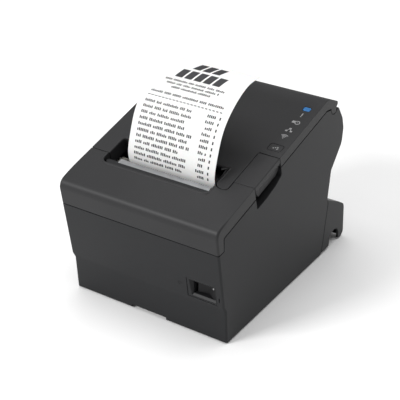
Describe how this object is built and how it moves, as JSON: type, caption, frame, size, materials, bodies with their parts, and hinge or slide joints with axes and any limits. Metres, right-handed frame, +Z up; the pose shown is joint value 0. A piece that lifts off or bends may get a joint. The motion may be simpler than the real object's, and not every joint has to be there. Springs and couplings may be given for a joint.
{
  "type": "receipt printer",
  "caption": "Desktop thermal receipt printer: sloping top with paper exit, hinged roll cover, open lever, front cutter cover, power rocker and rear connector cover.",
  "frame": {"origin": "centre of the overall box on the surface the feet stand on", "axes": "+Z up, front of the printer faces -Y, +X is the right-hand side seen from the front"},
  "size_m": [0.145, 0.2095, 0.1817],
  "materials": {
    "casing": "charcoal ABS, fine moulded texture",
    "cover": "charcoal ABS, fine moulded texture",
    "inner_plastic": "black moulded plastic",
    "steel": "cold-rolled steel",
    "zinc": "zinc-plated sheet steel",
    "motor_can": "plated steel can",
    "aluminium": "extruded aluminium",
    "rubber": "moulded rubber",
    "paper": "coated thermal paper",
    "board": "green solder mask",
    "ceramic": "glazed ceramic",
    "gear": "natural acetal",
    "lens": "blue light guide",
    "socket": "black nylon",
    "cardboard": "spiral-wound board"
  },
  "bodies": {
    "base": {"lower_case": "casing", "bottom_plate": "inner_plastic", "foot_front_left": "rubber", "foot_front_right": "rubber", "foot_rear_left": "rubber", "foot_rear_right": "rubber", "base_screw_1": "steel", "base_screw_2": "steel", "base_screw_3": "steel", "base_screw_4": "steel", "chassis": "zinc", "roll_bin": "inner_plastic", "paper_web": "paper", "head_spring_left": "steel", "head_spring_right": "steel", "feed_motor": "motor_can", "tear_bar": "steel", "tear_bar_base": "inner_plastic", "latch_pin": "steel", "cutter_motor": "motor_can", "cutter_frame": "zinc", "main_board": "board", "connector_panel": "zinc", "power_socket": "socket", "drawer_socket": "socket", "network_socket": "socket", "usb_socket": "socket", "serial_socket": "socket", "switch_housing": "inner_plastic"},
    "front_cover": {"front_cover": "cover"},
    "roll_cover": {"roll_cover": "cover", "platen_bracket": "zinc", "platen_bush_left": "gear", "platen_bush_right": "gear", "fixed_blade": "steel", "lever_pin": "steel", "status_lens": "lens", "panel_board": "board", "receipt_strip": "paper"},
    "lever": {"cover_open_lever": "cover"},
    "button": {"feed_button": "cover"},
    "platen": {"platen_shaft": "steel", "platen_rubber": "rubber", "platen_gear": "gear"},
    "feed_idler": {"feed_idler_gear": "gear"},
    "feed_pinion": {"feed_motor_pinion": "gear"},
    "print_head": {"thermal_head": "ceramic", "head_heatsink": "aluminium"},
    "roll": {"paper_roll": "paper", "roll_core": "cardboard"},
    "blade": {"moving_blade": "steel"},
    "cutter_axle": {"cutter_shaft": "steel", "cutter_pinion_left": "gear", "cutter_pinion_right": "gear", "cutter_gear": "gear"},
    "cutter_idler": {"cutter_idler_gear": "gear"},
    "cutter_pinion": {"cutter_motor_pinion": "gear"},
    "rocker": {"power_rocker": "socket"},
    "end_sensor": {"near_end_lever": "gear"},
    "connector_cover": {"connector_cover": "casing"}
  },
  "joints": [
    {"name": "roll_cover_hinge", "type": "hinge", "parent": "base", "child": "roll_cover", "pos_m": [0, 0.07125, 0.1374], "axis": [-1, 0, 0], "range_deg": [0, 78]},
    {"name": "front_cover_slide", "type": "slide", "parent": "base", "child": "front_cover", "axis": [0, -1, 0], "range_m": [0, 0.02]},
    {"name": "lever_hinge", "type": "hinge", "parent": "roll_cover", "child": "lever", "pos_m": [0, -0.02413, 0.12399], "axis": [-1, 0, 0], "range_deg": [0, 18], "stiffness_Nm_per_rad": 0.15, "springref_deg": -8.59},
    {"name": "feed_button_press", "type": "slide", "parent": "roll_cover", "child": "button", "axis": [0, 0.2487, -0.9686], "range_m": [0, 0.001], "stiffness_N_per_m": 400, "springref_m": -0.0005},
    {"name": "roll_spin", "type": "hinge", "parent": "base", "child": "roll", "pos_m": [0, 0.03075, 0.0945], "axis": [1, 0, 0], "continuous": true},
    {"name": "platen_spin", "type": "hinge", "parent": "roll_cover", "child": "platen", "pos_m": [0, -0.04575, 0.096], "axis": [1, 0, 0], "continuous": true},
    {"name": "feed_idler_spin", "type": "hinge", "parent": "base", "child": "feed_idler", "pos_m": [0, -0.04481, 0.07702], "axis": [1, 0, 0], "continuous": true},
    {"name": "feed_pinion_spin", "type": "hinge", "parent": "base", "child": "feed_pinion", "pos_m": [0, -0.03425, 0.065], "axis": [1, 0, 0], "continuous": true},
    {"name": "print_head_pivot", "type": "hinge", "parent": "base", "child": "print_head", "pos_m": [0, -0.04845, 0.07421], "axis": [1, 0, 0], "range_deg": [0, 2], "stiffness_Nm_per_rad": 4, "springref_deg": -4.58},
    {"name": "blade_slide", "type": "slide", "parent": "base", "child": "blade", "axis": [0, 0.9686, 0.2487], "range_m": [0, 0.009]},
    {"name": "cutter_axle_spin", "type": "hinge", "parent": "base", "child": "cutter_axle", "pos_m": [0, -0.07591, 0.1045], "axis": [1, 0, 0], "range_deg": [0, 130]},
    {"name": "cutter_idler_spin", "type": "hinge", "parent": "base", "child": "cutter_idler", "pos_m": [0, -0.08132, 0.09213], "axis": [1, 0, 0], "range_deg": [-90, 0]},
    {"name": "cutter_pinion_spin", "type": "hinge", "parent": "base", "child": "cutter_pinion", "pos_m": [0, -0.08231, 0.08118], "axis": [1, 0, 0], "range_deg": [0, 238]},
    {"name": "power_rocker_tip", "type": "hinge", "parent": "base", "child": "rocker", "pos_m": [0.056, -0.09205, 0.0466], "axis": [0, 0, 1], "range_deg": [0, 14]},
    {"name": "end_sensor_swing", "type": "hinge", "parent": "base", "child": "end_sensor", "pos_m": [0.0459, 0.01335, 0.075], "axis": [0, 0, -1], "range_deg": [0, 8], "stiffness_Nm_per_rad": 0.01, "springref_deg": -5.73},
    {"name": "connector_cover_pull", "type": "slide", "parent": "base", "child": "connector_cover", "axis": [0, 1, 0], "range_m": [0, 0.045]}
  ],
  "couplings": [
    {"joint": "platen_spin", "follows": "roll_spin", "ratio": 5.1429},
    {"joint": "feed_idler_spin", "follows": "roll_spin", "ratio": -3.7403},
    {"joint": "feed_pinion_spin", "follows": "roll_spin", "ratio": 8.2286},
    {"joint": "cutter_axle_spin", "follows": "blade_slide", "rad_per_m": 250},
    {"joint": "cutter_idler_spin", "follows": "blade_slide", "rad_per_m": -171.88},
    {"joint": "cutter_pinion_spin", "follows": "blade_slide", "rad_per_m": 458.33}
  ]
}
